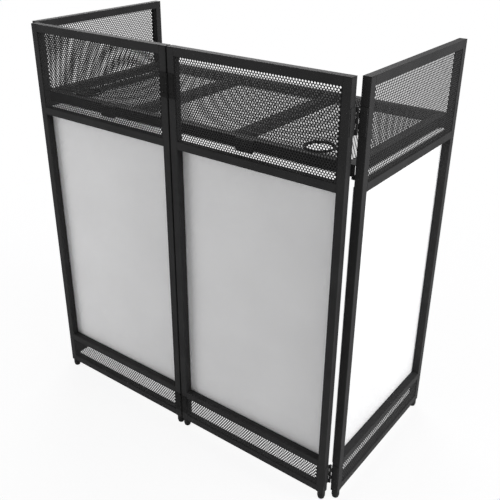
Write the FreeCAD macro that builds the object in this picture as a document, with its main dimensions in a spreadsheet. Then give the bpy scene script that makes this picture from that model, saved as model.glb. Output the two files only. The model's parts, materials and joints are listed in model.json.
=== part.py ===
import FreeCAD, Part
import math
import os
import Sketcher

# Folding DJ booth: two front panels and two side panels of square steel tube, hinged at the
# centre and at both corners, with a perforated table that lifts out. Millimetres, Z up.
# Every panel is drawn flat in its own frame: x along its width, y = 0 on its outer face and
# z = 0 at the bottom of its tubes. The booth frame has x = 0 at the centre, y = 0 on the
# front faces and the same z.

Vector = FreeCAD.Vector
X_AXIS = Vector(1, 0, 0)
Y_AXIS = Vector(0, 1, 0)
Z_AXIS = Vector(0, 0, 1)
QUARTER_TURN = 90
FULL_TURN = 360

SIZES = {
    # square tube of the frames
    "tube": 22,
    "tube_wall": 1.5,
    "tube_chamfer": 1.6,
    # panels, and how they stand to each other
    "frame_height": 1165,
    "front_width": 520,
    "side_length": 519,
    "centre_gap": 5,
    "corner_gap_x": 8,
    "corner_gap_y": 6,
    # windows between the rails
    "base_window": 67,
    "top_window": 220,
    # feet and end caps
    "foot_height": 26,
    "foot_diameter": 22,
    "foot_edge": 4,
    "plug_depth": 14,
    "plug_clearance": 0.1,
    "cap_thickness": 2,
    # perforated sheets
    "sheet": 1.5,
    "grille_setback": 2,
    "hole_pitch": 87,
    "hole_width": 54,
    "hole_land": 6.4,
    # scrims and their tapes
    "tape_width": 10,
    "tape_thickness": 1.2,
    "tape_inset": 2,
    "scrim_thickness": 0.8,
    # hinges
    "hinge_height": 64,
    "hinge_from_bottom": 28,
    "hinge_from_top": 66,
    "barrel": 6,
    "pin": 3.4,
    "pin_clearance": 0.05,
    "knuckle_gap": 0.3,
    "leaf": 2,
    "leaf_edge": 2,
    "leaf_clearance": 0.5,
    # table
    "table_front_gap": 8,
    "table_side_gap": 2,
    "skirt": 28.5,
    "margin": 22,
    "beam_width": 34,
    "beam_depth": 24,
    "beam_x": 177,
    # cable grommets
    "grommet_from_side": 128,
    "grommet_land": 1,
    "grommet_flange": 80,
    "grommet_bore": 68,
    "grommet_wall": 2.5,
    "grommet_rise": 3.5,
    "grommet_sleeve": 8,
    "grommet_clearance": 0.2,
    # lugs on the table and rests on the side panels
    "lug_width": 53,
    "lug_drop": 4,
    "lug_clearance": 0.5,
    "right_lug_x": 224,
    "left_lug_x": 256.5,
    "side_lug_from_rear": 34,
    "rest_width": 16,
    "rest_reach": 10,
    "rest_thickness": 4,
    "rest_rise": 10.3,
    "pad_thickness": 3,
    "pad_clearance": 0.3,
}

LAYOUT = {
    # heights of the rails and windows
    "lower_rail": "Sizes.tube + Sizes.base_window",
    "scrim_sill": "Layout.lower_rail + Sizes.tube",
    "top_rail": "Sizes.frame_height - Sizes.tube",
    "top_sill": "Layout.top_rail - Sizes.top_window",
    "mid_rail": "Layout.top_sill - Sizes.tube",
    # where the panels stand
    "front_end": "Sizes.centre_gap / 2 + Sizes.front_width",
    "side_inner": "Layout.front_end + Sizes.corner_gap_x",
    "side_outer": "Layout.side_inner + Sizes.tube",
    "side_front": "Sizes.tube + Sizes.corner_gap_y",
    "side_rear": "Layout.side_front + Sizes.side_length",
    "front_y": "(Sizes.barrel - Layout.side_rear) / 2",
    # hinge axes
    "barrel_radius": "Sizes.barrel / 2",
    "corner_axis_y": "Layout.side_front - Layout.barrel_radius",
    "corner_axis_x": "Layout.side_inner - Layout.corner_axis_y + Sizes.tube",
    "leaf_start": "Layout.barrel_radius + Sizes.leaf_clearance",
    "hinge_high": "Sizes.frame_height - Sizes.hinge_from_top - Sizes.hinge_height",
    # front rests, and the table that stands on them
    "rest_top": "Layout.top_sill + Sizes.rest_rise",
    "pad_top": "Layout.rest_top + Sizes.pad_thickness",
    "skirt_under": "Layout.pad_top + Sizes.pad_clearance",
    "lug_under": "Layout.skirt_under - Sizes.lug_drop",
    "lug_height": "Sizes.skirt + Sizes.lug_drop",
    "table_height": "Layout.skirt_under + Sizes.skirt",
    "side_lug_y": "Layout.side_rear - Sizes.side_lug_from_rear",
    # table
    "table_half": "Layout.side_inner - Sizes.table_side_gap",
    "table_front": "Sizes.tube + Sizes.table_front_gap",
    "table_depth": "Layout.side_rear - Layout.table_front",
    "sheet_under": "Layout.table_height - Sizes.sheet",
    "beam_under": "Layout.sheet_under - Sizes.beam_depth",
    "rear_beam_y": "Layout.side_rear - Sizes.sheet - Sizes.beam_width",
    "grommet_x": "Layout.table_half - Sizes.grommet_from_side",
    "grommet_hole": "Sizes.grommet_bore / 2 + Sizes.grommet_wall + Sizes.grommet_clearance",
    "grommet_y": "Layout.table_front + Sizes.margin + Sizes.grommet_land + Layout.grommet_hole",
}

# Shares of a hinge's height: one knuckle, and where the knuckles of each leaf start.
KNUCKLE_SHARE = 1 / 3
OUTER_SHARES = {"foot": 0, "head": 2 / 3}
INNER_SHARES = {"middle": 1 / 3}

# Holes and knuckles have flat sides, few enough to keep what repeats light.
HOLE_SIDES = 6
BARREL_SIDES = 12
ROW_SHARE = math.sqrt(3) / 2

doc = FreeCAD.newDocument("DjBooth")
sheet = doc.addObject("Spreadsheet::Sheet", "Sizes")
for row, (alias, size) in enumerate(SIZES.items(), start=1):
    sheet.set(f"A{row}", alias)
    sheet.set(f"B{row}", str(size))
    sheet.setAlias(f"B{row}", alias)
layout = doc.addObject("Spreadsheet::Sheet", "Layout")
for row, (alias, formula) in enumerate(LAYOUT.items(), start=1):
    layout.set(f"A{row}", alias)
    layout.setAlias(f"B{row}", alias)
    layout.set(f"B{row}", "=" + formula.replace("Layout.", ""))
doc.recompute()

nodes = []


def number(expression):
    """Value of an expression on the two sheets."""
    return float(sheet.evalExpression(expression))


def bind(feature, expressions):
    """Drive properties of a feature from the sheets."""
    for prop, expression in expressions.items():
        feature.setExpression(prop, expression)
    return feature


def place(feature, at):
    """Drive the position of a feature from three expressions."""
    return bind(feature, {f"Placement.Base.{axis}": place_at for axis, place_at in zip("xyz", at)})


def box(name, at, size):
    block = doc.addObject("Part::Box", name)
    bind(block, dict(zip(("Length", "Width", "Height"), size)))
    return place(block, at)


def cylinder(name, at, radius, height):
    rod = doc.addObject("Part::Cylinder", name)
    bind(rod, {"Radius": radius, "Height": height})
    return place(rod, at)


def barrel(name, at, height):
    """Knuckle of a hinge, round the hinge's own axis."""
    knuckle = doc.addObject("Part::Prism", name)
    knuckle.Polygon = BARREL_SIDES
    bind(knuckle, {"Circumradius": "Layout.barrel_radius", "Height": height})
    return place(knuckle, at)


def fused(name, shapes):
    union = doc.addObject("Part::MultiFuse", name)
    union.Shapes = shapes
    return union


def cut(name, base, tool):
    difference = doc.addObject("Part::Cut", name)
    difference.Base = base
    difference.Tool = tool
    return difference


def mirrored(source):
    """Copy of a piece on the other side of the booth's centre plane."""
    copy = doc.addObject("Part::Mirroring", source.Name + "_mirror")
    copy.Source = source
    copy.Normal = X_AXIS
    return copy


def outline(sketch, corners):
    """Closed outline whose corners are driven by pairs of expressions."""
    first = sketch.GeometryCount
    points = [Vector(number(across), number(up), 0) for across, up in corners]
    ends = points[1:] + points[:1]
    for start, end in zip(points, ends):
        sketch.addGeometry(Part.LineSegment(start, end), False)
    for step in range(len(points)):
        following = (step + 1) % len(points)
        sketch.addConstraint(Sketcher.Constraint("Coincident", first + step, 2, first + following, 1))
    for step, corner in enumerate(corners):
        for kind, expression, axis in zip(("DistanceX", "DistanceY"), corner, (-2, -1)):
            if expression == "0":
                sketch.addConstraint(Sketcher.Constraint("PointOnObject", first + step, 1, axis))
                continue
            size = Sketcher.Constraint(kind, -1, 1, first + step, 1, number(expression))
            index = sketch.addConstraint(size)
            sketch.setExpression(f"Constraints[{index}]", expression)


def body_with_sketch(name, plane):
    body = doc.addObject("PartDesign::Body", name)
    sketch = body.newObject("Sketcher::SketchObject", name + "_profile")
    support = next(item for item in body.Origin.OriginFeatures if item.Role == plane)
    sketch.AttachmentSupport = [(support, "")]
    sketch.MapMode = "FlatFace"
    return body, sketch


def rectangle(low, wide, high):
    return [(low, low), (wide, low), (wide, high), (low, high)]


def tube(name, along, at, length, across=("Sizes.tube", "Sizes.tube")):
    """Hollow tube with chamfered edges that runs along an axis from its lowest corner."""
    body, sketch = body_with_sketch(name, "XY_Plane")
    wide, deep = across
    edge = "Sizes.tube_chamfer"
    wall = "Sizes.tube_wall"
    outline(sketch, [
        (edge, "0"), (f"{wide} - {edge}", "0"), (wide, edge), (wide, f"{deep} - {edge}"),
        (f"{wide} - {edge}", deep), (edge, deep), ("0", f"{deep} - {edge}"), ("0", edge),
    ])
    outline(sketch, rectangle(wall, f"{wide} - {wall}", f"{deep} - {wall}"))
    pad = body.newObject("PartDesign::Pad", name + "_pad")
    pad.Profile = sketch
    pad.setExpression("Length", length)
    at_x, at_y, at_z = at
    if along == "x":
        body.Placement.Rotation = FreeCAD.Rotation(Y_AXIS, QUARTER_TURN)
        at_z = f"{at_z} + {wide}"
    if along == "y":
        body.Placement.Rotation = FreeCAD.Rotation(X_AXIS, -QUARTER_TURN)
        at_z = f"{at_z} + {deep}"
    return place(body, (at_x, at_y, at_z))


def hexagon(centre, across_flats, lift):
    radius = across_flats / math.sqrt(3)
    turns = [math.pi * (2 * side + 1) / HOLE_SIDES for side in range(HOLE_SIDES)]
    corners = [centre + lift(radius * math.cos(turn), radius * math.sin(turn)) for turn in turns]
    return Part.makePolygon(corners + corners[:1])


def hole_centres(wide, high, avoid):
    """Centres of staggered rows of holes, kept clear of the edges and of round cut-outs."""
    pitch = number("Sizes.hole_pitch")
    reach = number("Sizes.hole_width / 2 + Sizes.hole_land")
    rise = pitch * ROW_SHARE
    rows = int((high - 2 * reach) / rise) + 1
    columns = int((wide - 2 * reach) / pitch) + 1
    for row in range(rows):
        up = high / 2 + (row - (rows - 1) / 2) * rise
        count = columns - row % 2
        for column in range(count):
            across = wide / 2 + (column - (count - 1) / 2) * pitch
            if all(math.hypot(across - x, up - y) > radius + reach for x, y, radius in avoid):
                yield across, up


def perforated(name, corner, wide, high, lift, normal, cut_outs=()):
    """Sheet with staggered holes; lift turns its own across and up into a direction."""
    rim = [(0, 0), (wide, 0), (wide, high), (0, high), (0, 0)]
    wires = [Part.makePolygon([corner + lift(across, up) for across, up in rim])]
    depth = normal * number("Sizes.sheet")
    avoid = [(x, y, number("Sizes.grommet_flange / 2")) for x, y in cut_outs]
    for across, up in hole_centres(wide, high, avoid):
        wires.append(hexagon(corner + lift(across, up), number("Sizes.hole_width"), lift))
    for across, up in cut_outs:
        ring = Part.makeCircle(number("Layout.grommet_hole"), corner + lift(across, up), normal)
        wires.append(Part.Wire(ring))
    plate = doc.addObject("Part::Feature", name)
    plate.Shape = Part.makeFace(wires, "Part::FaceMakerBullseye").extrude(depth)
    return plate


def upright(across, up):
    return Vector(across, 0, up)


def level(across, up):
    return Vector(across, up, 0)


def booth_node(name, pieces):
    """Named sub-part drawn in the booth frame."""
    node = doc.addObject("Part::Compound", name)
    node.Links = pieces
    nodes.append(node)
    return place(node, ("0", "Layout.front_y", "Sizes.foot_height"))


PANELS = {
    "front_right": ("Sizes.front_width", 0, "Sizes.centre_gap / 2", "0"),
    "front_left": ("Sizes.front_width", 0, "-Layout.front_end", "0"),
    "right_side": ("Sizes.side_length", 1, "Layout.side_outer", "Layout.side_front"),
    "left_side": ("Sizes.side_length", -1, "-Layout.side_outer", "Layout.side_rear"),
}

# Start of the front and rear uprights along each side panel.
FAR_UPRIGHT = "Sizes.side_length - Sizes.tube"
SIDE_UPRIGHTS = {
    "right_side": {"front": "0", "rear": FAR_UPRIGHT},
    "left_side": {"front": FAR_UPRIGHT, "rear": "0"},
}

# The front rests carry the table's skirt, and the rear ones its lugs, which hang lower.
REST_DROPS = {"front": "0", "rear": "Sizes.lug_drop"}


def panel_node(panel, suffix, pieces):
    """Named sub-part drawn in a panel's own frame."""
    turns, at_x, at_y = PANELS[panel][1:]
    node = doc.addObject("Part::Compound", f"{panel}_{suffix}")
    node.Links = pieces
    node.Placement.Rotation = FreeCAD.Rotation(Z_AXIS, turns * QUARTER_TURN)
    nodes.append(node)
    return place(node, (at_x, f"Layout.front_y + {at_y}", "Sizes.foot_height"))


def frame_tubes(panel, wide):
    far = f"{wide} - Sizes.tube"
    upright_length = "Sizes.frame_height - Sizes.cap_thickness"
    rail_length = f"{wide} - 2 * Sizes.tube"
    tubes = [tube(f"{panel}_upright_{side}", "z", (at, "0", "0"), upright_length)
             for side, at in (("a", "0"), ("b", far))]
    heights = {"bottom": "0", "lower": "Layout.lower_rail", "mid": "Layout.mid_rail",
               "top": "Layout.top_rail"}
    for name, height in heights.items():
        tubes.append(tube(f"{panel}_{name}_rail", "x", ("Sizes.tube", "0", height), rail_length))
    return tubes


def grille(panel, name, wide, sill, high):
    corner = Vector(number("Sizes.tube"), number("Sizes.grille_setback"), number(sill))
    opening = number(f"{wide} - 2 * Sizes.tube")
    return perforated(f"{panel}_{name}_sheet", corner, opening, number(high), upright, Y_AXIS)


def foot(name, at_x):
    """Round foot with a bevelled lower edge and a square plug in the tube."""
    body, sketch = body_with_sketch(name, "XZ_Plane")
    radius = "Sizes.foot_diameter / 2"
    outline(sketch, [("0", "0"), (f"{radius} - Sizes.foot_edge", "0"), (radius, "Sizes.foot_edge"),
                     (radius, "Sizes.foot_height"), ("0", "Sizes.foot_height")])
    turn = body.newObject("PartDesign::Revolution", name + "_turn")
    turn.Profile = sketch
    turn.ReferenceAxis = (sketch, ["V_Axis"])
    turn.Angle = FULL_TURN
    place(body, (f"{at_x} + Sizes.tube / 2", "Sizes.tube / 2", "-Sizes.foot_height"))
    return fused(name + "_plugged", [body, plug(name, at_x, "0")])


def plug(name, at_x, at_z):
    side = "(Sizes.tube - 2 * Sizes.tube_wall - 2 * Sizes.plug_clearance)"
    inset = "Sizes.tube_wall + Sizes.plug_clearance"
    return box(name + "_plug", (f"{at_x} + {inset}", inset, at_z), (side, side, "Sizes.plug_depth"))


def end_cap(name, at_x):
    """Square cap that closes the top of an upright."""
    seat = "Sizes.frame_height - Sizes.cap_thickness"
    lid = box(name + "_lid", (at_x, "0", seat), ("Sizes.tube", "Sizes.tube", "Sizes.cap_thickness"))
    return fused(name, [lid, plug(name, at_x, f"{seat} - Sizes.plug_depth")])


def scrim_and_tapes(panel, wide):
    inset = "Sizes.tape_inset"
    full = f"{wide} - 2 * {inset}"
    back = "Sizes.tube"
    low = "Layout.scrim_sill - Sizes.tape_inset - Sizes.tape_width"
    high = "Layout.mid_rail + Sizes.tape_inset"
    thick = "Sizes.tape_thickness"
    tapes = [box(f"{panel}_{name}_tape", (inset, back, at), (full, thick, "Sizes.tape_width"))
             for name, at in (("sill", low), ("head", high))]
    between = f"{low} + Sizes.tape_width"
    far = f"{wide} - {inset} - Sizes.tape_width"
    for name, at in (("near", inset), ("far", far)):
        size = ("Sizes.tape_width", thick, f"{high} - ({between})")
        tapes.append(box(f"{panel}_{name}_tape", (at, back, between), size))
    cloth = box(f"{panel}_cloth", (inset, f"{back} + {thick}", low),
                (full, "Sizes.scrim_thickness", f"{high} + Sizes.tape_width - ({low})"))
    panel_node(panel, "scrim", [cloth])
    panel_node(panel, "scrim_tapes", tapes)


def table_rests(panel):
    """Tabs on the inner faces of a side panel's uprights, each with a rubber pad for the table."""
    tabs = []
    pads = []
    across = ("Sizes.rest_width", "Sizes.rest_reach")
    for end, at_x in SIDE_UPRIGHTS[panel].items():
        near = f"{at_x} + (Sizes.tube - Sizes.rest_width) / 2"
        seat = f"Layout.rest_top - {REST_DROPS[end]}"
        tabs.append(box(f"{panel}_{end}_rest", (near, "Sizes.tube", f"{seat} - Sizes.rest_thickness"),
                        across + ("Sizes.rest_thickness",)))
        pads.append(box(f"{panel}_{end}_pad", (near, "Sizes.tube", seat), across + ("Sizes.pad_thickness",)))
    panel_node(panel, "table_rest", tabs)
    panel_node(panel, "rest_pad", pads)


def build_panel(panel):
    wide = PANELS[panel][0]
    far = f"{wide} - Sizes.tube"
    panel_node(panel, "frame", frame_tubes(panel, wide))
    panel_node(panel, "top_grille", [grille(panel, "top", wide, "Layout.top_sill", "Sizes.top_window")])
    panel_node(panel, "base_grille", [grille(panel, "base", wide, "Sizes.tube", "Sizes.base_window")])
    scrim_and_tapes(panel, wide)
    panel_node(panel, "feet", [foot(f"{panel}_foot_a", "0"), foot(f"{panel}_foot_b", far)])
    panel_node(panel, "end_caps", [end_cap(f"{panel}_cap_a", "0"), end_cap(f"{panel}_cap_b", far)])
    if panel in SIDE_UPRIGHTS:
        table_rests(panel)


HINGES = {"low": "Sizes.hinge_from_bottom", "high": "Layout.hinge_high"}
KNUCKLE_HEIGHT = f"(Sizes.hinge_height * {KNUCKLE_SHARE} - Sizes.knuckle_gap)"


def knuckle_base(base, share):
    return f"{base} + Sizes.hinge_height * {share} + Sizes.knuckle_gap / 2"


def leaf(name, axis, plate, arm, shares, base):
    """Hinge leaf: a flat plate, and arms that carry the knuckles round the barrel's axis."""
    plate_at, plate_size = plate
    arm_at, arm_size = arm
    pieces = [box(name + "_plate", plate_at + (base,), plate_size + ("Sizes.hinge_height",))]
    for place_name, share in shares.items():
        height = knuckle_base(base, share)
        pieces.append(box(f"{name}_arm_{place_name}", arm_at + (height,), arm_size + (KNUCKLE_HEIGHT,)))
        pieces.append(barrel(f"{name}_knuckle_{place_name}", axis + (height,), KNUCKLE_HEIGHT))
    return fused(name, pieces)


def bored_leaf(name, axis, plate, arm, base):
    """Leaf whose middle knuckle turns on the pin."""
    blank = leaf(name + "_blank", axis, plate, arm, INNER_SHARES, base)
    bore = cylinder(name + "_bore", axis + (base,), "Sizes.pin / 2 + Sizes.pin_clearance",
                    "Sizes.hinge_height")
    return cut(name, blank, bore)


def pin(name, axis, base):
    """Pin staked between the two outer knuckles, which are closed at their ends."""
    foot_end = f"{knuckle_base(base, KNUCKLE_SHARE)} - Sizes.knuckle_gap"
    return cylinder(name, axis + (foot_end,), "Sizes.pin / 2", f"{KNUCKLE_HEIGHT} + 2 * Sizes.knuckle_gap")


def build_centre_hinges():
    """Leaves on the front faces of the two middle uprights."""
    axis = ("0", "-Layout.barrel_radius")
    reach = "Sizes.centre_gap / 2 + Sizes.tube - Sizes.leaf_edge - Layout.leaf_start"
    plate = (("Layout.leaf_start", "-Sizes.leaf"), (reach, "Sizes.leaf"))
    arm = (("0", "-Sizes.leaf"), ("Layout.leaf_start + Sizes.leaf", "Sizes.leaf"))
    right = [leaf(f"centre_right_{name}", axis, plate, arm, OUTER_SHARES, base)
             for name, base in HINGES.items()]
    left = [mirrored(bored_leaf(f"centre_left_{name}", axis, plate, arm, base))
            for name, base in HINGES.items()]
    booth_node("centre_hinge_right_leaves", right)
    booth_node("centre_hinge_left_leaves", left)
    booth_node("centre_hinge_pins", [pin(f"centre_{name}_pin", axis, base)
                                     for name, base in HINGES.items()])


def build_corner_hinges():
    """Leaves on the end of each front panel and on the front end of each side panel."""
    axis = ("Layout.corner_axis_x", "Layout.corner_axis_y")
    arm_y = "Layout.corner_axis_y - Layout.barrel_radius"
    front_plate = (("Layout.front_end", "Sizes.leaf_edge"),
                   ("Sizes.leaf", f"{arm_y} + Sizes.leaf - Sizes.leaf_edge"))
    front_arm = (("Layout.front_end", arm_y), ("Layout.corner_axis_x - Layout.front_end", "Sizes.leaf"))
    side_y = "Layout.side_front - Sizes.leaf"
    start = "(Layout.corner_axis_x + Layout.leaf_start)"
    side_plate = ((start, side_y), (f"Layout.side_outer - Sizes.leaf_edge - {start}", "Sizes.leaf"))
    side_arm = (("Layout.corner_axis_x", side_y), ("Layout.leaf_start + Sizes.leaf", "Sizes.leaf"))
    front = [leaf(f"corner_front_{name}", axis, front_plate, front_arm, OUTER_SHARES, base)
             for name, base in HINGES.items()]
    side = [bored_leaf(f"corner_side_{name}", axis, side_plate, side_arm, base)
            for name, base in HINGES.items()]
    pins = [pin(f"corner_{name}_pin", axis, base) for name, base in HINGES.items()]
    for suffix, pieces in (("front_leaves", front), ("side_leaves", side), ("pins", pins)):
        booth_node(f"right_corner_hinge_{suffix}", pieces)
        booth_node(f"left_corner_hinge_{suffix}", [mirrored(piece) for piece in pieces])


def angle(name, flange, skirt):
    """Folded angle: a flat flange on top and a skirt that hangs from its outer edge."""
    flange_at, flange_size = flange
    skirt_at, skirt_size = skirt
    top = box(name + "_flange", flange_at + ("Layout.sheet_under",), flange_size + ("Sizes.sheet",))
    side = box(name + "_skirt", skirt_at + ("Layout.skirt_under",), skirt_size + ("Sizes.skirt",))
    return fused(name, [top, side])


def table_rim():
    """Four butted angles round the table."""
    half = "Layout.table_half"
    front = "Layout.table_front"
    inner = f"{front} + Sizes.margin"
    run = "Layout.table_depth - 2 * Sizes.margin"
    wide = f"2 * {half}"
    long_flange = (wide, "Sizes.margin")
    long_skirt = (wide, "Sizes.sheet")
    front_angle = angle("rim_front", ((f"-{half}", front), long_flange), ((f"-{half}", front), long_skirt))
    rear_at = "Layout.side_rear - Sizes.margin"
    skirt_at = "Layout.side_rear - Sizes.sheet"
    rear_angle = angle("rim_rear", ((f"-{half}", rear_at), long_flange), ((f"-{half}", skirt_at), long_skirt))
    right = angle("rim_right", ((f"{half} - Sizes.margin", inner), ("Sizes.margin", run)),
                  ((f"{half} - Sizes.sheet", inner), ("Sizes.sheet", run)))
    return [front_angle, rear_angle, right, mirrored(right)]


def table_top():
    """Perforated infill inside the rim, with a round hole for each grommet."""
    inset = number("Sizes.margin")
    half = number("Layout.table_half") - inset
    corner = Vector(-half, number("Layout.table_front") + inset, number("Layout.sheet_under"))
    deep = number("Layout.table_depth") - 2 * inset
    hole_y = number("Layout.grommet_y") - corner.y
    holes = [(half + side * number("Layout.grommet_x"), hole_y) for side in (-1, 1)]
    return perforated("table_infill", corner, 2 * half, deep, level, Z_AXIS, holes)


def grommet(name):
    """Turned ring: a flange on the table and a sleeve through it."""
    body, sketch = body_with_sketch(name, "XZ_Plane")
    bore = "Sizes.grommet_bore / 2"
    sleeve = f"{bore} + Sizes.grommet_wall"
    rim = "Sizes.grommet_flange / 2"
    top = "Sizes.grommet_sleeve + Sizes.grommet_rise"
    outline(sketch, [(bore, "0"), (sleeve, "0"), (sleeve, "Sizes.grommet_sleeve"),
                     (rim, "Sizes.grommet_sleeve"), (rim, top), (bore, top)])
    turn = body.newObject("PartDesign::Revolution", name + "_turn")
    turn.Profile = sketch
    turn.ReferenceAxis = (sketch, ["V_Axis"])
    turn.Angle = FULL_TURN
    return place(body, ("Layout.grommet_x", "Layout.grommet_y",
                        "Layout.table_height - Sizes.grommet_sleeve"))


def depth_beam():
    run = "Layout.rear_beam_y - Layout.table_front - Sizes.sheet"
    return tube("depth_beam", "y", ("Sizes.beam_x - Sizes.beam_width / 2",
                                    "Layout.table_front + Sizes.sheet", "Layout.beam_under"),
                run, ("Sizes.beam_width", "Sizes.beam_depth"))


def rear_beam():
    side = "Layout.table_half - Sizes.sheet"
    return tube("rear_beam", "x", (f"-({side})", "Layout.rear_beam_y", "Layout.beam_under"),
                f"2 * ({side})", ("Sizes.beam_depth", "Sizes.beam_width"))


def front_lug(name, middle):
    """Block on the front skirt that keeps the table off the panel and hangs a little below it."""
    at = (f"{middle} - Sizes.lug_width / 2", "Sizes.tube + Sizes.lug_clearance", "Layout.lug_under")
    return box(name, at, ("Sizes.lug_width", "Sizes.table_front_gap - Sizes.lug_clearance",
                          "Layout.lug_height"))


def side_lug():
    at = ("Layout.table_half", "Layout.side_lug_y - Sizes.lug_width / 2", "Layout.lug_under")
    return box("side_lug", at, ("Sizes.table_side_gap - Sizes.lug_clearance", "Sizes.lug_width",
                                "Layout.lug_height"))


def build_table():
    booth_node("table_top", [table_top()])
    booth_node("table_rim", table_rim())
    beam = depth_beam()
    booth_node("table_right_beam", [beam])
    booth_node("table_left_beam", [mirrored(beam)])
    booth_node("table_rear_beam", [rear_beam()])
    ring = grommet("grommet")
    booth_node("right_cable_grommet", [ring])
    booth_node("left_cable_grommet", [mirrored(ring)])
    booth_node("table_front_lugs", [front_lug("front_lug_right", "Sizes.right_lug_x"),
                                    front_lug("front_lug_left", "-Sizes.left_lug_x")])
    lug = side_lug()
    booth_node("table_side_lugs", [lug, mirrored(lug)])


for panel_name in PANELS:
    build_panel(panel_name)
build_centre_hinges()
build_corner_hinges()
build_table()
doc.recompute()

for item in doc.Objects:
    if "Invalid" in item.State or "Error" in item.State:
        raise RuntimeError(f"{item.Name} did not build: {item.State}")
for node in nodes:
    if node.Shape.isNull() or not node.Shape.isValid():
        raise RuntimeError(f"{node.Label} has no valid shape")

os.makedirs("parts", exist_ok=True)
for node in nodes:
    node.Shape.exportStep(f"parts/{node.Label}.step")
print(len(nodes), "sub-parts,", sum(len(node.Shape.Solids) for node in nodes), "solids")
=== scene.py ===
import json
import math

import bmesh
import bpy
import numpy as np
from mathutils import Matrix, Quaternion, Vector


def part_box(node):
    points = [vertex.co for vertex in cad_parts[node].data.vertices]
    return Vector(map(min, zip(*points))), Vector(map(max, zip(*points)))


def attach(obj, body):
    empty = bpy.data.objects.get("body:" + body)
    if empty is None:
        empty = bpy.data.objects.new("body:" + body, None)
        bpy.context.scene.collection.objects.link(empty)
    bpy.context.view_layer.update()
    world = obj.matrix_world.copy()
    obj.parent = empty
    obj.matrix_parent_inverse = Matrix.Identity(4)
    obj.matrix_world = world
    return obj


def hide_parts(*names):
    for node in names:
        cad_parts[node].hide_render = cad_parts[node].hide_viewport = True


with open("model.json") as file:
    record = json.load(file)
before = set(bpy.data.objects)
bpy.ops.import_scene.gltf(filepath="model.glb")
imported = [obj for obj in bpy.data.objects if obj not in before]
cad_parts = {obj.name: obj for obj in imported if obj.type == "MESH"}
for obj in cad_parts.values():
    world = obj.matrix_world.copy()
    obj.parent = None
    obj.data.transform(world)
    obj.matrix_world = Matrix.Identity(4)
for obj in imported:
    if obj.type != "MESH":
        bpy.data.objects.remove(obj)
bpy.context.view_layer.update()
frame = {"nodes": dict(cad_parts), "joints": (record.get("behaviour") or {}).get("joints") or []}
JOINTS = {joint["name"]: Vector(joint["pos_m"]) for joint in frame["joints"]}
PANELS = ("front_left", "front_right", "left_side", "right_side")

# All lengths are in metres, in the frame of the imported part.

# Tubes, caps and feet
TUBE = 0.022
TUBE_ROUND = 0.0014
CAP = 0.002
CAP_ROUND = 0.0008
GLIDE_SHARE = 0.43
GLIDE_HEIGHT_SHARE = 0.3
GLIDE_ROUND = 0.003
COLLAR_ROUND = 0.0008
FOOT_SIDES = 40

# Perforated sheets
HOLE_PITCH = 0.00787
HOLE_ROW = 0.00592
GRILLE_HOLE = 0.00250
GRILLE_HOLE_SIDES = 12
GRILLE_SHEET = 0.0005
TABLE_HOLE = 0.00285
TABLE_HOLE_SIDES = 8
TABLE_SHEET = 0.00025
LEAST_REACH = 1e-6
HOLED, PLAIN, LEFT_OUT = range(3)
# Points round a staggered cell, as half pitches to the right and half rows up from its corner.
ROUND_CELL = ((2, 1), (2, 2), (1, 2), (0, 2), (0, 1), (0, 0), (1, 0), (2, 0))

# Scrims, their tapes, hems and stitches
TAPE_WIDTH = 0.010
TAPE_THICKNESS = 0.0012
TAPE_ROUND = 0.0003
TAPE_JOINT = 0.0004
CLOTH_COLUMNS = 56
CLOTH_ROWS = 88
CLOTH_THICKNESS_SHARE = 0.9
PULL_DEPTH = 0.00012
PULL_FADE = 26
PULLS_ACROSS = 61
PULLS_UP = 83
HEM = 0.0006
HEM_ROUND = 0.00024
HEM_BAND = 0.012
STITCH_PITCH = 0.006
STITCH_LENGTH = 0.0042
STITCH_RADIUS = 0.0003
STITCH_SIDES = 6
STITCH_INSET = 0.0095

# Hinges
HINGE_HEIGHT = 0.064
# In CAD a hinge has three knuckles, and its pin is about as tall as one of them.
CAD_KNUCKLES = 3
KNUCKLES = 5
KNUCKLE_GAP = 0.0004
KNUCKLE_EDGE = 0.0004
KNUCKLE_SIDES = 24
BARREL_RADIUS = 0.003
LEAF = 0.002
LEAF_ROUND = 0.0006
LEAF_EDGE = 0.002
LEAF_START = 0.0035
ARM_ROUND = 0.0003
OUTER_KNUCKLES = (0, 2, 4)
INNER_KNUCKLES = (1, 3)
SCREW_RADIUS = 0.0026
SCREW_RISE = 0.0009
SCREW_DOME = SCREW_RISE * 0.7
SCREW_SOCKET = SCREW_RADIUS * 0.5
SOCKET_FLOOR = SCREW_RISE * 0.25
SCREW_SIDES = 18
SCREW_SHARES = (0.2, 0.8)

# Table and its rests
SHEET = 0.0015
SKIRT_BEND = 0.0016
GROMMET_RIM = 0.006
GROMMET_SLEEVE = 0.0035
GROMMET_WALL = 0.0008
GROMMET_LIP = 0.0012
GROMMET_DOME_SHARE = 0.7
GROMMET_SIDES = 64
RING_OVERLAP = 0.001
RING_LAND = 0.0004
FRONT_LUG_WIDTH = 0.053
FRONT_LUG_ROUND = 0.0018
SIDE_LUG_ROUND = 0.0006
REST_WIDTH = 0.016
REST_TAB = 0.004
REST_TAB_ROUND = 0.0006
REST_PAD = 0.003
REST_PAD_ROUND = 0.0008

# Facets of a quarter turn, and the angle in degrees past which an edge stays sharp
FINE_ARC = 6
BEND_ARC = 5
LIP_ARC = 4
EDGE_ARC = 3
SHARP_ANGLE = 48

# Materials: noise scales are in features per metre
BLOTCH_SCALE = 14.0
BLOTCH_DETAIL = 4.0
BLOTCH_BAND = (0.35, 0.65)
GRAIN_DETAIL = 2.0
GRAIN_BAND = (0.3, 0.7)
GLOSS_SPREAD = 0.06
CLOUD_SCALE = 5.0
CLOUD_DETAIL = 3.0
STEEL_GRAIN = 900.0
RELIEF_DEPTH = 0.0002

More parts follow.
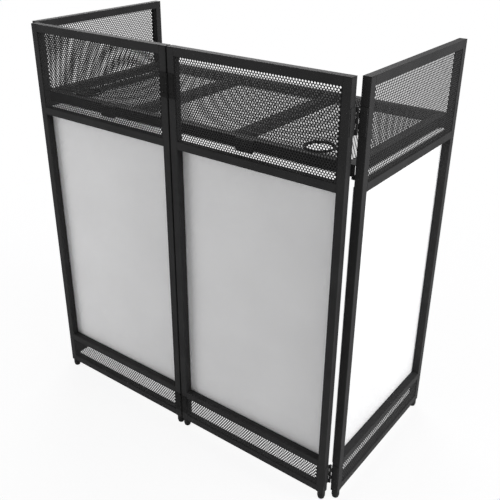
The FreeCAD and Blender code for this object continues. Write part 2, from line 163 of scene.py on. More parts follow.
# Stage, light and camera
FLOOR_REACH = 12.0
WORLD_LEVEL = 0.22
SENSOR = 36.0
LENS = 51.207
SHIFT = (0.0185, -0.0255)
CAMERA_PLACE = (1.2248, -1.5689, 1.5446)
CAMERA_AIM = (0.0311, -0.0048, 0.5717)
CAMERA_ROLL = 0.002
# Name, place, aim, size and power in watts of each lamp
LAMPS = (
    ("key", (4.3, 0.35, 2.7), (0.3, 0, 0.6), 3.0, 200),
    ("fill", (-2.8, -2.4, 1.7), (-0.2, -0.2, 0.7), 2.0, 48),
    ("back", (-2.2, 2.4, 2.9), (0, 0, 1.0), 2.4, 105),
)


# Materials

def node_material(name):
    """New material, with its nodes and links."""
    material = bpy.data.materials.new(name)
    material.use_nodes = True
    return material, material.node_tree.nodes, material.node_tree.links


def add(nodes, kind, **values):
    """New node whose properties, or sockets, are set by name."""
    node = nodes.new(kind)
    for key, value in values.items():
        if hasattr(node, key):
            setattr(node, key, value)
        else:
            node.inputs[key.replace("_", " ")].default_value = value
    return node


def grain(nodes, links, scale, detail=GRAIN_DETAIL):
    """Noise in object space."""
    place = nodes.new("ShaderNodeTexCoord")
    noise = add(nodes, "ShaderNodeTexNoise", Scale=scale, Detail=detail)
    links.new(place.outputs["Object"], noise.inputs["Vector"])
    return noise.outputs["Fac"]


def ramp(nodes, links, source, low, high, band=GRAIN_BAND):
    """Value of a texture mapped to two colours or greys, between the ends of a band."""
    shade = nodes.new("ShaderNodeValToRGB")
    for element, position, colour in zip(shade.color_ramp.elements, band, (low, high)):
        element.position = position
        element.color = colour
    links.new(source, shade.inputs["Fac"])
    return shade.outputs["Color"]


def grey(level, blue=0.0):
    """Grey of one level, with a little blue added where it is cool."""
    return (level, level, level + blue, 1.0)


def bump(nodes, links, source, shader, strength):
    """Fine relief of a texture on a shader."""
    relief = add(nodes, "ShaderNodeBump", Strength=strength, Distance=RELIEF_DEPTH)
    links.new(source, relief.inputs["Height"])
    links.new(relief.outputs["Normal"], shader.inputs["Normal"])


def coated(name, dark, light, rough, specular, scale, strength):
    """Powder coat or moulded plastic: fine grain, faint blotches and uneven gloss."""
    material, nodes, links = node_material(name)
    shader = nodes["Principled BSDF"]
    shader.inputs["Specular IOR Level"].default_value = specular
    blotch = grain(nodes, links, BLOTCH_SCALE, BLOTCH_DETAIL)
    fine = grain(nodes, links, scale)
    tint = ramp(nodes, links, blotch, dark, light, BLOTCH_BAND)
    gloss = ramp(nodes, links, fine, grey(rough - GLOSS_SPREAD), grey(rough + GLOSS_SPREAD))
    links.new(tint, shader.inputs["Base Color"])
    links.new(gloss, shader.inputs["Roughness"])
    bump(nodes, links, fine, shader, strength)
    return material


def woven(name, dark, light, thread, strength):
    """Cloth with a plain weave: sets of threads along each axis."""
    material, nodes, links = node_material(name)
    shader = nodes["Principled BSDF"]
    for socket, value in (("Roughness", 0.92), ("Specular IOR Level", 0.15), ("Sheen Weight", 0.12)):
        shader.inputs[socket].default_value = value
    place = nodes.new("ShaderNodeTexCoord")
    threads = []
    for direction in ("X", "Y", "Z"):
        wave = add(nodes, "ShaderNodeTexWave", bands_direction=direction, Scale=thread, Distortion=0.6,
                   Detail=1.0)
        links.new(place.outputs["Object"], wave.inputs["Vector"])
        threads.append(wave.outputs["Fac"])
    crossed = threads[0]
    for other in threads[1:]:
        total = add(nodes, "ShaderNodeMath", operation="ADD")
        links.new(crossed, total.inputs[0])
        links.new(other, total.inputs[1])
        crossed = total.outputs[0]
    cloud = grain(nodes, links, CLOUD_SCALE, CLOUD_DETAIL)
    links.new(ramp(nodes, links, cloud, dark, light), shader.inputs["Base Color"])
    bump(nodes, links, crossed, shader, strength)
    return material


def bare_steel(name):
    """Bare steel with a fine grain in its colour and its gloss."""
    material, nodes, links = node_material(name)
    shader = nodes["Principled BSDF"]
    shader.inputs["Metallic"].default_value = 1.0
    fine = grain(nodes, links, STEEL_GRAIN)
    for socket, low, high in (("Base Color", 0.30, 0.42), ("Roughness", 0.30, 0.45)):
        links.new(ramp(nodes, links, fine, grey(low), grey(high)), shader.inputs[socket])
    return material


COAT = coated("satin_black_coat", grey(0.026, blue=0.0005), grey(0.032, blue=0.0005),
              rough=0.6, specular=0.05, scale=900.0, strength=0.25)
GRILLE_COAT = coated("grille_coat", grey(0.025, blue=0.0005), grey(0.030, blue=0.0005),
                     rough=0.6, specular=0.04, scale=900.0, strength=0.15)
HINGE_COAT = coated("hinge_coat", grey(0.014), grey(0.019),
                    rough=0.6, specular=0.03, scale=700.0, strength=0.15)
PLASTIC = coated("black_plastic", grey(0.018), grey(0.025),
                 rough=0.6, specular=0.06, scale=600.0, strength=0.3)
RUBBER = coated("black_rubber", grey(0.010), grey(0.016),
                rough=0.8, specular=0.15, scale=400.0, strength=0.4)
SCRIM = woven("white_scrim_cloth", grey(0.82, blue=0.005), grey(0.86, blue=0.005),
              thread=320.0, strength=0.25)
TAPE = woven("black_hook_tape", grey(0.016), grey(0.026), thread=260.0, strength=0.6)
STEEL = bare_steel("pin_steel")


# Mesh helpers

def rounded_box(bm, low, high, radius, along=None):
    """Box with rounded edges; with an axis named, only the edges along it are rounded."""
    low, high = Vector(low), Vector(high)
    size = high - low
    place = Matrix.Translation((low + high) / 2) @ Matrix.Diagonal(size.to_4d())
    made = bmesh.ops.create_cube(bm, size=1.0, matrix=place)
    edges = {edge for vert in made["verts"] for edge in vert.link_edges}
    if along is not None:
        edges = {edge for edge in edges
                 if abs((edge.verts[0].co - edge.verts[1].co)[along]) > size[along] / 2}
    bmesh.ops.bevel(bm, geom=list(edges), offset=radius, segments=EDGE_ARC, profile=0.5,
                    affect="EDGES", clamp_overlap=True)


def lathe(bm, centre, profile, steps, closed=False):
    """Turn a profile of (radius, height) points round a vertical axis."""
    turns = [2 * math.pi * step / steps for step in range(steps)]
    rings = []
    for radius, height in profile:
        ring = [(radius * math.cos(turn), radius * math.sin(turn), height) for turn in turns]
        if radius == 0:
            ring = [(0, 0, height)]
        rings.append([bm.verts.new(centre + Vector(point)) for point in ring])
    pairs = zip(rings, rings[1:] + rings[:1]) if closed else zip(rings, rings[1:])
    for lower, upper in pairs:
        for step in range(steps):
            after = (step + 1) % steps
            corners = (lower[step % len(lower)], lower[after % len(lower)],
                       upper[after % len(upper)], upper[step % len(upper)])
            unique = list(dict.fromkeys(corners))
            if len(unique) > 2:
                bm.faces.new(unique)
    bmesh.ops.recalc_face_normals(bm, faces=bm.faces)


def arc(centre, radius, start, end, steps):
    """Points of a profile's rounded corner; the angles are in degrees."""
    turns = [math.radians(start + (end - start) * step / steps) for step in range(steps + 1)]
    return [(centre[0] + radius * math.cos(turn), centre[1] + radius * math.sin(turn)) for turn in turns]


def ordered(first, second):
    """Lowest and highest corner of the box between two points."""
    low = tuple(min(pair) for pair in zip(first, second))
    high = tuple(max(pair) for pair in zip(first, second))
    return low, high


def finish_piece(name, mesh, material, body, stands_for=()):
    """Object of a mesh that rides on a body and stands for CAD nodes."""
    mesh.materials.append(material)
    piece = bpy.data.objects.new(name, mesh)
    bpy.context.scene.collection.objects.link(piece)
    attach(piece, body)
    if stands_for:
        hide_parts(*stands_for)
    return piece


def piece_from(bm, name, material, body, stands_for=()):
    """Piece of an edited mesh, smooth across its rounded edges."""
    mesh = bpy.data.meshes.new(name)
    bm.to_mesh(mesh)
    bm.free()
    mesh.shade_smooth()
    mesh.set_sharp_from_angle(angle=math.radians(SHARP_ANGLE))
    piece = finish_piece(name, mesh, material, body, stands_for)
    smooth = piece.modifiers.new("weighted", "WEIGHTED_NORMAL")
    smooth.keep_sharp = True
    return piece


# Perforated sheets

def sheet_cells(columns, rows, kind_of):
    """Cells of the staggered pattern as (column, row): those with a hole, and the plain half cells."""
    holed, plain = [], []
    for row in range(rows):
        start = row % 2
        if start:
            plain.append((0, row))
        if (columns - start) % 2:
            plain.append((columns - 1, row))
        for column in range(start, columns - 1, 2):
            kind = kind_of(column + 1, 2 * row + 1)
            if kind == HOLED:
                holed.append((column, row))
            elif kind == PLAIN:
                plain += [(column, row), (column + 1, row)]
    return np.array(holed), np.array(plain, dtype=int).reshape(-1, 2)


def cell_points(cells, columns, steps):
    """Numbers of the grid points at the given steps right and up from each cell's corner."""
    points = [(2 * cells[:, 1] + above) * (columns + 1) + cells[:, 0] + right for right, above in steps]
    return np.stack(points, 1)


def holed_faces(outer, ring):
    """Quads and triangles between a cell's eight outer points and its ring of eight or twelve."""
    quads, triangles = [], [np.zeros((0, 3), dtype=int)]
    sides = ring.shape[1]
    share = sides // 4
    for quarter in range(4):
        side = outer[:, 2 * quarter]
        corner = outer[:, 2 * quarter + 1]
        after = outer[:, (2 * quarter + 2) % 8]
        run = [ring[:, (share * quarter + step) % sides] for step in range(share + 1)]
        quads.append(np.stack([run[0], side, corner, run[1]], 1))
        quads.append(np.stack([run[-2], corner, after, run[-1]], 1))
        if share == 3:
            triangles.append(np.stack([run[1], corner, run[2]], 1))
    return np.concatenate(quads), np.concatenate(triangles)


def border_walls(quads, triangles, count):
    """Quads that join the two sides of a sheet along each edge that only one face has."""
    edges = np.concatenate([np.stack([faces, np.roll(faces, -1, 1)], -1).reshape(-1, 2)
                            for faces in (quads, triangles)])
    first, second = edges.T
    border = edges[~np.isin(first * count + second, second * count + first)]
    start, end = border.T
    return np.stack([end, start, start + count, end + count], 1)


def mesh_from_arrays(name, points, groups):
    """Mesh from points and arrays of faces, each array with its own number of corners."""
    corners = np.concatenate([group.ravel() for group in groups]).astype(np.int32)
    counts = np.concatenate([np.full(len(group), group.shape[1], dtype=np.int32) for group in groups])
    starts = np.concatenate([[0], np.cumsum(counts)[:-1]]).astype(np.int32)
    mesh = bpy.data.meshes.new(name)
    mesh.vertices.add(len(points))
    mesh.vertices.foreach_set("co", points.ravel())
    mesh.loops.add(len(corners))
    mesh.loops.foreach_set("vertex_index", corners)
    mesh.polygons.add(len(counts))
    mesh.polygons.foreach_set("loop_start", starts)
    mesh.update(calc_edges=True)
    return mesh


def perforated_mesh(name, low, high, radius, sides, rings=()):
    """Flat sheet with staggered round holes; rings are (x, y, cut, cover) of larger round cut-outs."""
    low, high = np.array(low), np.array(high)
    size = high - low
    flat = int(np.argmin(size))
    u, v = [axis for axis in range(3) if axis != flat]
    half, half_row = HOLE_PITCH / 2, HOLE_ROW / 2
    columns, rows = int(size[u] / half), int(size[v] / HOLE_ROW)
    across = low[u] + (size[u] - columns * half) / 2 + half * np.arange(columns + 1)
    up = low[v] + (size[v] - rows * HOLE_ROW) / 2 + half_row * np.arange(2 * rows + 1)

    def kind_of(column, line):
        for x, y, cut, cover in rings:
            off_x, off_y = abs(across[column] - x), abs(up[line] - y)
            if math.hypot(off_x + half, off_y + half_row) < cut:
                return LEFT_OUT
            if math.hypot(off_x, off_y) < cover:
                return PLAIN
        return HOLED

    holed, plain = sheet_cells(columns, rows, kind_of)
    centres = np.stack([across[holed[:, 0] + 1], up[2 * holed[:, 1] + 1]], 1)
    turns = 2 * math.pi * np.arange(sides) / sides
    circle = radius * np.stack([np.cos(turns), np.sin(turns)], 1)
    # The outermost lines of the grid lie on the sheet's own edges.
    across[[0, -1]] = low[u], high[u]
    up[[0, -1]] = low[v], high[v]
    grid = np.stack(np.meshgrid(across, up), axis=-1).reshape(-1, 2)
    for x, y, cut, cover in rings:
        away = grid - (x, y)
        reach = np.maximum(np.linalg.norm(away, axis=1, keepdims=True), LEAST_REACH)
        grid = np.where(reach < cut, (x, y) + away / reach * cut, grid)
    sheet = np.concatenate([grid, (centres[:, None] + circle[None]).reshape(-1, 2)])

    circles = len(grid) + np.arange(len(holed) * sides).reshape(-1, sides)
    quads, triangles = holed_faces(cell_points(holed, columns, ROUND_CELL), circles)
    for line in (0, 1):
        half_cell = ((0, line), (1, line), (1, line + 1), (0, line + 1))
        quads = np.concatenate([quads, cell_points(plain, columns, half_cell)])
    count = len(sheet)
    # A sheet square to Y has its first side towards -Y, and any other one towards its high side.
    front, back = (low[flat], high[flat]) if flat == 1 else (high[flat], low[flat])
    points = np.zeros((2 * count, 3))
    points[:, u], points[:, v] = np.tile(sheet, (2, 1)).T
    points[:, flat] = np.repeat([front, back], count)
    groups = [quads, triangles, quads[:, ::-1] + count, triangles[:, ::-1] + count]
    return mesh_from_arrays(name, points, groups + [border_walls(quads, triangles, count)])


def thin_box(node, outward, thickness):
    """Box of a node's outer skin, of the sheet's own thickness."""
    low, high = (Vector(corner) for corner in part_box(node))
    flat = max(range(3), key=lambda axis: abs(outward[axis]))
    if outward[flat] > 0:
        low[flat] = high[flat] - thickness
    else:
        high[flat] = low[flat] + thickness
    return low, high


# Panels

class Panel:
    """A panel's own frame: a along its width, d inwards from its outer face, z up."""

    def __init__(self, name):
        self.name = name
        self.body = name
        low, high = (Vector(corner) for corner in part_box(f"{name}_frame"))
        self.low_z, self.high_z = low.z, high.z
        self.side = name.endswith("side")
        if self.side:
            self.width = high.y - low.y
            outward = 1 if name.startswith("right") else -1
            self.origin = Vector((high.x if outward > 0 else low.x, low.y, 0))
            self.along, self.inward = Vector((0, 1, 0)), Vector((-outward, 0, 0))
        else:
            self.width = high.x - low.x
            self.origin = Vector((low.x, low.y, 0))
            self.along, self.inward = Vector((1, 0, 0)), Vector((0, 1, 0))
        self.axis = 1 if self.side else 0
        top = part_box(f"{name}_top_grille")
        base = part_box(f"{name}_base_grille")
        self.rails = (self.low_z, base[1][2], top[0][2] - TUBE, top[1][2])

    def at(self, a, d, z):
        """Point of the panel's frame, in the frame of the part."""
        return self.origin + self.along * a + self.inward * d + Vector((0, 0, z))

    def box(self, bm, first, second, radius, along=None):
        """Rounded box between two points of the panel's frame."""
        low, high = ordered(self.at(*first), self.at(*second))
        rounded_box(bm, low, high, radius, along)


def build_tubes(panel):
    """Two uprights and four rails of square tube."""
    bm = bmesh.new()
    for a in (0, panel.width - TUBE):
        panel.box(bm, (a, 0, panel.low_z), (a + TUBE, TUBE, panel.high_z - CAP), TUBE_ROUND, 2)
    for z in panel.rails:
        panel.box(bm, (TUBE, 0, z), (panel.width - TUBE, TUBE, z + TUBE), TUBE_ROUND, panel.axis)
    piece_from(bm, f"{panel.name}_tubes", COAT, panel.body, [f"{panel.name}_frame"])


def build_caps(panel):
    """Lids on the tops of the uprights."""
    bm = bmesh.new()
    for a in (0, panel.width - TUBE):
        panel.box(bm, (a, 0, panel.high_z - CAP), (a + TUBE, TUBE, panel.high_z), CAP_ROUND)
    piece_from(bm, f"{panel.name}_caps", PLASTIC, panel.body, [f"{panel.name}_end_caps"])


def build_feet(panel):
    """Two-tier foot: a collar as wide as the tube over a narrower glide with a rounded edge."""
    height = panel.low_z
    glide, step = TUBE * GLIDE_SHARE, height * GLIDE_HEIGHT_SHARE
    rim = TUBE / 2 - COLLAR_ROUND
    profile = [(0, 0), *arc((glide - GLIDE_ROUND, GLIDE_ROUND), GLIDE_ROUND, -90, 0, FINE_ARC),
               (glide, step),
               *arc((rim, step + COLLAR_ROUND), COLLAR_ROUND, -90, 0, EDGE_ARC),
               *arc((rim, height - COLLAR_ROUND), COLLAR_ROUND, 0, 90, EDGE_ARC), (0, height)]
    bm = bmesh.new()
    for a in (TUBE / 2, panel.width - TUBE / 2):
        lathe(bm, panel.at(a, TUBE / 2, 0), profile, FOOT_SIDES)
    piece_from(bm, f"{panel.name}_glides", PLASTIC, panel.body, [f"{panel.name}_feet"])


def build_grille(panel, place):
    """Perforated sheet in the top or the base window."""
    node = f"{panel.name}_{place}_grille"
    low, high = thin_box(node, -panel.inward, GRILLE_SHEET)
    mesh = perforated_mesh(f"{node}_sheet", low, high, GRILLE_HOLE, GRILLE_HOLE_SIDES)
    finish_piece(f"{node}_sheet", mesh, GRILLE_COAT, panel.body, [node])


def build_tapes(panel):
    """Strips of hook tape between the frame and the cloth: two across it and two upright."""
    node = f"{panel.name}_scrim_tapes"
    low, high = (Vector(corner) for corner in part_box(node))
    size = high - low
    back = TUBE + min(size)
    wide = max(size[0], size[1])
    edge = (panel.width - wide) / 2
    bm = bmesh.new()
    for z in (low.z, high.z - TAPE_WIDTH):
        panel.box(bm, (edge, TUBE, z), (edge + wide, back, z + TAPE_WIDTH), TAPE_ROUND)
    bottom, top = low.z + TAPE_WIDTH + TAPE_JOINT, high.z - TAPE_WIDTH - TAPE_JOINT
    for a in (edge, edge + wide - TAPE_WIDTH):
        panel.box(bm, (a, TUBE, bottom), (a + TAPE_WIDTH, back, top), TAPE_ROUND)
    piece_from(bm, f"{panel.name}_tapes", TAPE, panel.body, [node])


def cloth_grid(panel, edge, wide, low, tall, depth):
    """Grid of the stretched cloth, with faint pulls near its edges."""
    bm = bmesh.new()
    lines = []
    for row in range(CLOTH_ROWS + 1):
        share_z = row / CLOTH_ROWS
        line = []
        for column in range(CLOTH_COLUMNS + 1):
            share_a = column / CLOTH_COLUMNS
            border = min(share_a, 1 - share_a, share_z, 1 - share_z)
            ripple = math.sin(share_a * PULLS_ACROSS) * math.sin(share_z * PULLS_UP)
            pull = ripple * math.exp(-border * PULL_FADE) * PULL_DEPTH
            line.append(bm.verts.new(panel.at(edge + wide * share_a, depth + pull, low + tall * share_z)))
        lines.append(line)
    for lower, upper in zip(lines, lines[1:]):
        for column in range(CLOTH_COLUMNS):
            bm.faces.new((lower[column], lower[column + 1], upper[column + 1], upper[column]))
    bmesh.ops.recalc_face_normals(bm, faces=bm.faces)
    return bm


def build_hem(panel, edge, wide, low, tall, depth):
    """Folded border on the back of the cloth."""
    far, top, back = edge + wide, low + tall, depth + HEM
    bm = bmesh.new()
    for z in (low, top - HEM_BAND):
        panel.box(bm, (edge, depth, z), (far, back, z + HEM_BAND), HEM_ROUND)
    for a in (edge, far - HEM_BAND):
        panel.box(bm, (a, depth, low + HEM_BAND), (a + HEM_BAND, back, top - HEM_BAND), HEM_ROUND)
    return piece_from(bm, f"{panel.name}_hem", SCRIM, panel.body)


def stitch(bm, middle, along, up):
    """Short spindle of thread that lies on the cloth."""
    across = along.cross(up)
    turns = [2 * math.pi * step / STITCH_SIDES for step in range(STITCH_SIDES)]
    waist = [bm.verts.new(middle + STITCH_RADIUS * (math.cos(turn) * across + math.sin(turn) * up))
             for turn in turns]
    for end in (-1, 1):
        tip = bm.verts.new(middle + along * (end * STITCH_LENGTH / 2))
        for first, second in zip(waist, waist[1:] + waist[:1]):
            bm.faces.new((tip, first, second))


def build_stitches(panel, edge, wide, low, tall, depth):
    """Line of stitches round the hem, near the fold's inner edge."""
    left, right = edge + STITCH_INSET, edge + wide - STITCH_INSET
    bottom, top = low + STITCH_INSET, low + tall - STITCH_INSET
    places = ((left, bottom), (right, bottom), (right, top), (left, top))
    corners = [panel.at(a, depth, z) for a, z in places]
    bm = bmesh.new()
    for start, end in zip(corners, corners[1:] + corners[:1]):
        run = end - start
        count = int(run.length / STITCH_PITCH)
        for step in range(count):
            stitch(bm, start + run * ((step + 0.5) / count), run.normalized(), panel.inward)
    bmesh.ops.recalc_face_normals(bm, faces=bm.faces)
    return piece_from(bm, f"{panel.name}_stitches", SCRIM, panel.body)


def build_scrim(panel):
    """Stretched cloth on its tapes, with a stitched hem behind it."""
    node = f"{panel.name}_scrim"
    low, high = (Vector(corner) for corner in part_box(node))
    size = high - low
    thick, tall = min(size), size.z
    wide = max(size[0], size[1])
    edge = (panel.width - wide) / 2
    front = TUBE + TAPE_THICKNESS
    back = front + thick
    bm = cloth_grid(panel, edge, wide, low.z, tall, front + thick / 2)
    cloth = piece_from(bm, f"{panel.name}_cloth", SCRIM, panel.body, [node])
    cloth.modifiers.clear()
    body = cloth.modifiers.new("thickness", "SOLIDIFY")
    body.thickness = thick * CLOTH_THICKNESS_SHARE
    body.offset = 0
    hem = build_hem(panel, edge, wide, low.z, tall, back)
    stitches = build_stitches(panel, edge, wide, low.z, tall, back + HEM)


def build_rests(panel):
    """Tabs that carry the table, with their pads: a high one in front and a lower one at the rear."""
    for suffix, name, material, slot, thick, edge in (
            ("table_rest", "rest_tabs", COAT, "frame_paint", REST_TAB, REST_TAB_ROUND),
            ("rest_pad", "rubber_pads", RUBBER, "pad_rubber", REST_PAD, REST_PAD_ROUND)):
        low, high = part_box(f"{panel.name}_{suffix}")
        bm = bmesh.new()
        rounded_box(bm, (low[0], low[1], high[2] - thick), (high[0], low[1] + REST_WIDTH, high[2]), edge)
        rounded_box(bm, (low[0], high[1] - REST_WIDTH, low[2]), (high[0], high[1], low[2] + thick), edge)
        piece_from(bm, f"{panel.name}_{name}", material, panel.body, [f"{panel.name}_{suffix}"])


def build_panel(name):
    """All pieces of one panel."""
    panel = Panel(name)
    build_tubes(panel)
    build_caps(panel)
    build_feet(panel)
    build_grille(panel, "top")
    build_grille(panel, "base")
    build_tapes(panel)
    build_scrim(panel)
    if panel.side:
        build_rests(panel)


# Hinges

def hinge_heights(pins):
    """Lowest points of the lower and the upper hinge, set round the pins' own middles."""
    low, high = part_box(pins)
    below = (HINGE_HEIGHT - HINGE_HEIGHT / CAD_KNUCKLES) / 2
    return low[2] - below, high[2] + below - HINGE_HEIGHT


def screw(bm, head, outward):
    """Low domed screw head with a round socket."""
    turn = Vector((0, 0, 1)).rotation_difference(outward).to_matrix().to_4x4()
    profile = [(0, 0), *arc((SCREW_RADIUS - SCREW_DOME, 0.0), SCREW_DOME, 0, 90, EDGE_ARC),
               (SCREW_SOCKET, SCREW_RISE), (SCREW_SOCKET, SOCKET_FLOOR), (0, SOCKET_FLOOR)]
    bead = bmesh.new()
    lathe(bead, Vector((0, 0, 0)), profile, SCREW_SIDES)
    bead.transform(Matrix.Translation(head) @ turn)
    holder = bpy.data.meshes.new("screw")
    bead.to_mesh(holder)
    bead.free()
    bm.from_mesh(holder)
    bpy.data.meshes.remove(holder)


def leaf(bm, axis, base, plate, arm, own):
    """Plate, arms and knuckles of one leaf; own gives which knuckles it carries."""
    rounded_box(bm, (*plate[0], base), (*plate[1], base + HINGE_HEIGHT), LEAF_ROUND)
    pitch = HINGE_HEIGHT / KNUCKLES
    inner = BARREL_RADIUS - KNUCKLE_EDGE
    for step in own:
        low = base + step * pitch + KNUCKLE_GAP / 2
        high = low + pitch - KNUCKLE_GAP
        rounded_box(bm, (*arm[0], low), (*arm[1], high), ARM_ROUND)
        barrel = [(0, low), (inner, low), (BARREL_RADIUS, low + KNUCKLE_EDGE),
                  (BARREL_RADIUS, high - KNUCKLE_EDGE), (inner, high), (0, high)]
        lathe(bm, Vector((axis.x, axis.y, 0)), barrel, KNUCKLE_SIDES)


def build_leaves(node, name, material, axis, bases, body, plate, arm, own, screws, outward):
    """Leaves of both hinges of a pair on one panel, with their screws."""
    bm = bmesh.new()
    heads = bmesh.new()
    for base in bases:
        leaf(bm, axis, base, plate, arm, own)
        for share in SCREW_SHARES:
            screw(heads, Vector((*screws, base + HINGE_HEIGHT * share)), Vector(outward))
    piece_from(bm, name, material, body, [node])
    piece_from(heads, f"{name}_screws", material, body)


def build_centre_hinge():
    """Leaves on the front faces of the two front panels, with the barrel before the gap."""
    axis = JOINTS["centre_fold"]
    bases = hinge_heights("centre_hinge_pins")
    face = axis.y + BARREL_RADIUS
    for side, word, own in ((1, "right", OUTER_KNUCKLES), (-1, "left", INNER_KNUCKLES)):
        body = f"front_{word}"
        low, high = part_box(f"{body}_frame")
        reach = (low[0] if side > 0 else high[0]) + side * (TUBE - LEAF_EDGE)
        plate = ordered((side * LEAF_START, face - LEAF), (reach, face))
        arm = ordered((0, face - LEAF), (side * (LEAF_START + LEAF), face))
        middle = (side * (abs(reach) + LEAF_START) / 2, face - LEAF)
        build_leaves(f"centre_hinge_{word}_leaves", f"centre_{word}_leaf", HINGE_COAT, axis, bases,
                     body, plate, arm, own, middle, (0, -1, 0))


def build_corner_hinge(word, side):
    """Leaves on the end of a front panel and on the front end of the side panel beside it."""
    axis = JOINTS[f"{word}_swing"]
    bases = hinge_heights(f"{word}_corner_hinge_pins")
    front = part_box(f"front_{word}_frame")
    end = front[1][0] if side > 0 else front[0][0]
    face = front[0][1]
    arm_y = axis.y - BARREL_RADIUS
    plate = ordered((end, face + LEAF_EDGE), (end + side * LEAF, arm_y + LEAF))
    arm = ordered((end, arm_y), (axis.x, arm_y + LEAF))
    middle = (end + side * LEAF, face + TUBE / 2)
    build_leaves(f"{word}_corner_hinge_front_leaves", f"{word}_corner_front_leaf", COAT, axis, bases,
                 f"front_{word}", plate, arm, OUTER_KNUCKLES, middle, (side, 0, 0))
    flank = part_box(f"{word}_side_frame")
    outer = flank[1][0] if side > 0 else flank[0][0]
    start = axis.x + side * LEAF_START
    front_end = flank[0][1]
    plate = ordered((start, front_end - LEAF), (outer - side * LEAF_EDGE, front_end))
    arm = ordered((axis.x, front_end - LEAF), (start + side * LEAF, front_end))
    middle = ((start + outer) / 2, front_end - LEAF)
    build_leaves(f"{word}_corner_hinge_side_leaves", f"{word}_corner_side_leaf", COAT, axis, bases,
                 f"{word}_side", plate, arm, INNER_KNUCKLES, middle, (0, -1, 0))


def build_pins():
    """The pins keep their CAD solids, in bare steel."""
    for pins in ("centre_hinge_pins", "left_corner_hinge_pins", "right_corner_hinge_pins"):
        frame["nodes"][pins].data.materials.clear()
        frame["nodes"][pins].data.materials.append(STEEL)


# Table

def angle_bar(bm, start, end, inward, flange, skirt, top):
    """Folded angle that runs level from start to end, with a rounded bend."""
    profile = [(flange, 0), *arc((SKIRT_BEND, -SKIRT_BEND), SKIRT_BEND, 90, 180, BEND_ARC),
               (0, -skirt), (SHEET, -skirt), (SHEET, -SHEET), (flange, -SHEET)]
    inward = Vector(inward)
    ends = []
    for point in (start, end):
        corner = Vector((*point, top))
        ends.append([bm.verts.new(corner + inward * d + Vector((0, 0, z))) for d, z in profile])
    count = len(profile)
    for step in range(count):
        after = (step + 1) % count
        bm.faces.new((ends[0][step], ends[0][after], ends[1][after], ends[1][step]))
    for loop in ends:
        bm.faces.new(loop)
    bmesh.ops.recalc_face_normals(bm, faces=bm.faces)


def build_rim():
    """Four angles: the front and the rear one run through, and the side ones fit between them."""
    low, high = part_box("table_rim")
    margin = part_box("table_top")[0][1] - low[1]
    skirt = high[2] - low[2]
    near, far = low[1] + margin, high[1] - margin
    runs = (
        ((low[0], low[1]), (high[0], low[1]), (0, 1, 0)),
        ((low[0], high[1]), (high[0], high[1]), (0, -1, 0)),
        ((low[0], near), (low[0], far), (1, 0, 0)),
        ((high[0], near), (high[0], far), (-1, 0, 0)),
    )
    bm = bmesh.new()
    for start, end, inward in runs:
        angle_bar(bm, start, end, inward, margin, skirt, high[2])
    piece_from(bm, "table_rim_angles", COAT, "table", ["table_rim"])


def build_table_top():
    """Perforated infill in three runs that meet over the two beams."""
    low, high = thin_box("table_top", Vector((0, 0, 1)), TABLE_SHEET)
    rings = []
    for word in ("left", "right"):
        first, last = (Vector(corner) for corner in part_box(f"{word}_cable_grommet"))
        cut = (last.x - first.x) / 2 - GROMMET_RIM + RING_OVERLAP
        cover = cut + TABLE_HOLE + RING_LAND
        rings.append(((first.x + last.x) / 2, (first.y + last.y) / 2, cut, cover))
    beams = [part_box(f"table_{word}_beam") for word in ("left", "right")]
    seams = [(beam[0][0] + beam[1][0]) / 2 for beam in beams]
    runs = (("left", low.x, seams[0]), ("middle", *seams), ("right", seams[1], high.x))
    for word, start, end in runs:
        name = f"table_{word}_sheet"
        mesh = perforated_mesh(name, (start, low.y, low.z), (end, high.y, high.z), TABLE_HOLE,
                               TABLE_HOLE_SIDES, rings)
        finish_piece(name, mesh, GRILLE_COAT, "table", ["table_top"])


def build_beams():
    """Square beams under the sheet."""
    for word, along in (("left", 1), ("right", 1), ("rear", 0)):
        bm = bmesh.new()
        rounded_box(bm, *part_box(f"table_{word}_beam"), TUBE_ROUND, along)
        piece_from(bm, f"{word}_beam_tube", COAT, "table", [f"table_{word}_beam"])


def build_grommets():
    """Turned rings with a domed flange on the sheet and a short sleeve through it."""
    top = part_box("table_top")[1][2]
    for word in ("left", "right"):
        low, high = (Vector(corner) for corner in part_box(f"{word}_cable_grommet"))
        flange = (high.x - low.x) / 2
        rise = high.z - top
        dome = rise * GROMMET_DOME_SHARE
        bore = flange - GROMMET_RIM
        wall = bore + GROMMET_WALL
        profile = [(bore, -GROMMET_SLEEVE), (wall, -GROMMET_SLEEVE), (wall, 0), (flange, 0),
                   *arc((flange - dome, rise - dome), dome, 0, 90, BEND_ARC),
                   *arc((bore + GROMMET_LIP, rise - GROMMET_LIP), GROMMET_LIP, 90, 180, LIP_ARC)]
        centre = Vector(((low.x + high.x) / 2, (low.y + high.y) / 2, top))
        name = f"{word}_grommet_ring"
        bm = bmesh.new()
        lathe(bm, centre, profile, GROMMET_SIDES, closed=True)
        piece_from(bm, name, PLASTIC, "table", [f"{word}_cable_grommet"])


def build_lugs():
    """Lugs on the skirt, each a block with rounded edges."""
    low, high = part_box("table_front_lugs")
    bm = bmesh.new()
    rounded_box(bm, low, (low[0] + FRONT_LUG_WIDTH, high[1], high[2]), FRONT_LUG_ROUND)
    rounded_box(bm, (high[0] - FRONT_LUG_WIDTH, low[1], low[2]), high, FRONT_LUG_ROUND)
    piece_from(bm, "front_lug_blocks", COAT, "table", ["table_front_lugs"])
    low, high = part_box("table_side_lugs")
    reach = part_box("table_rim")[1][0]
    bm = bmesh.new()
    rounded_box(bm, low, (-reach, high[1], high[2]), SIDE_LUG_ROUND)
    rounded_box(bm, (reach, low[1], low[2]), high, SIDE_LUG_ROUND)
    piece_from(bm, "side_lug_blocks", COAT, "table", ["table_side_lugs"])


# Stage, light and camera

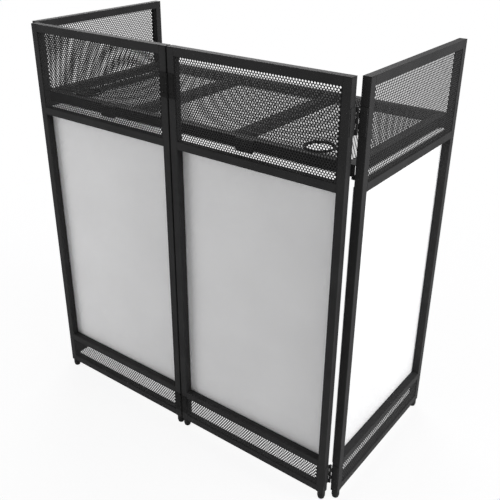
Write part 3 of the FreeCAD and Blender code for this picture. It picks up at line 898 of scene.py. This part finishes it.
def seen_directly(nodes, links):
    """1 for rays that show the background itself: from the camera, a gloss or glass."""
    path = nodes.new("ShaderNodeLightPath")
    seen = path.outputs["Is Camera Ray"]
    for kind in ("Is Glossy Ray", "Is Transmission Ray"):
        either = add(nodes, "ShaderNodeMath", operation="MAXIMUM")
        links.new(seen, either.inputs[0])
        links.new(path.outputs[kind], either.inputs[1])
        seen = either.outputs[0]
    return seen


def floor_material():
    """Pale floor that takes the booth's shadow near it and fades to white further out."""
    material, nodes, links = node_material("pale_floor")
    shader = nodes["Principled BSDF"]
    for socket, value in (("Base Color", grey(0.86)), ("Roughness", 0.95), ("Specular IOR Level", 0.0)):
        shader.inputs[socket].default_value = value
    glow = add(nodes, "ShaderNodeEmission", Strength=1.0)
    place = nodes.new("ShaderNodeTexCoord")
    away = add(nodes, "ShaderNodeVectorMath", operation="LENGTH")
    links.new(place.outputs["Object"], away.inputs[0])
    fade = add(nodes, "ShaderNodeMapRange", From_Min=0.6, From_Max=2.2, To_Min=0.9, To_Max=1.0)
    links.new(away.outputs["Value"], fade.inputs["Value"])
    share = add(nodes, "ShaderNodeMath", operation="MULTIPLY")
    links.new(seen_directly(nodes, links), share.inputs[0])
    links.new(fade.outputs["Result"], share.inputs[1])
    mix = nodes.new("ShaderNodeMixShader")
    links.new(share.outputs[0], mix.inputs[0])
    links.new(shader.outputs[0], mix.inputs[1])
    links.new(glow.outputs[0], mix.inputs[2])
    links.new(mix.outputs[0], nodes["Material Output"].inputs["Surface"])
    return material


def build_floor():
    """Plain square of floor under the booth."""
    signs = ((-1, -1), (1, -1), (1, 1), (-1, 1))
    mesh = bpy.data.meshes.new("floor")
    mesh.from_pydata([(x * FLOOR_REACH, y * FLOOR_REACH, 0) for x, y in signs], [], [(0, 1, 2, 3)])
    mesh.materials.append(floor_material())
    floor = bpy.data.objects.new("floor", mesh)
    bpy.context.scene.collection.objects.link(floor)


def build_world():
    """White surroundings, which light the booth at a lower level."""
    world = bpy.data.worlds.new("studio")
    bpy.context.scene.world = world
    world.use_nodes = True
    nodes, links = world.node_tree.nodes, world.node_tree.links
    background = nodes["Background"]
    level = add(nodes, "ShaderNodeMapRange", To_Min=WORLD_LEVEL, To_Max=1.0)
    links.new(seen_directly(nodes, links), level.inputs["Value"])
    background.inputs["Color"].default_value = grey(1.0)
    links.new(level.outputs[0], background.inputs["Strength"])


def area_light(name, place, aim, size, power):
    """Square soft lamp that points at its aim."""
    lamp = bpy.data.lights.new(name, "AREA")
    lamp.size = size
    lamp.energy = power
    light = bpy.data.objects.new(name, lamp)
    light.location = place
    light.rotation_euler = (Vector(aim) - Vector(place)).to_track_quat("-Z", "Y").to_euler()
    bpy.context.scene.collection.objects.link(light)


def build_camera():
    """Camera at the photograph's viewing angle."""
    lens = bpy.data.cameras.new("camera")
    lens.sensor_width = SENSOR
    lens.lens = LENS
    lens.shift_x, lens.shift_y = SHIFT
    camera = bpy.data.objects.new("camera", lens)
    camera.location = CAMERA_PLACE
    roll = Quaternion((0, 0, 1), CAMERA_ROLL)
    view = Vector(CAMERA_AIM) - Vector(CAMERA_PLACE)
    camera.rotation_euler = (view.to_track_quat("-Z", "Y") @ roll).to_euler()
    bpy.context.scene.collection.objects.link(camera)
    bpy.context.scene.camera = camera


for panel_name in PANELS:
    build_panel(panel_name)
build_centre_hinge()
build_corner_hinge("right", 1)
build_corner_hinge("left", -1)
build_pins()
build_rim()
build_table_top()
build_beams()
build_grommets()
build_lugs()

build_floor()
build_world()
for lamp_values in LAMPS:
    area_light(*lamp_values)
build_camera()
bpy.context.scene.view_settings.view_transform = "Standard"
# The default prefilter of the denoiser smears the fine perforation.
bpy.context.scene.cycles.denoising_prefilter = "FAST"
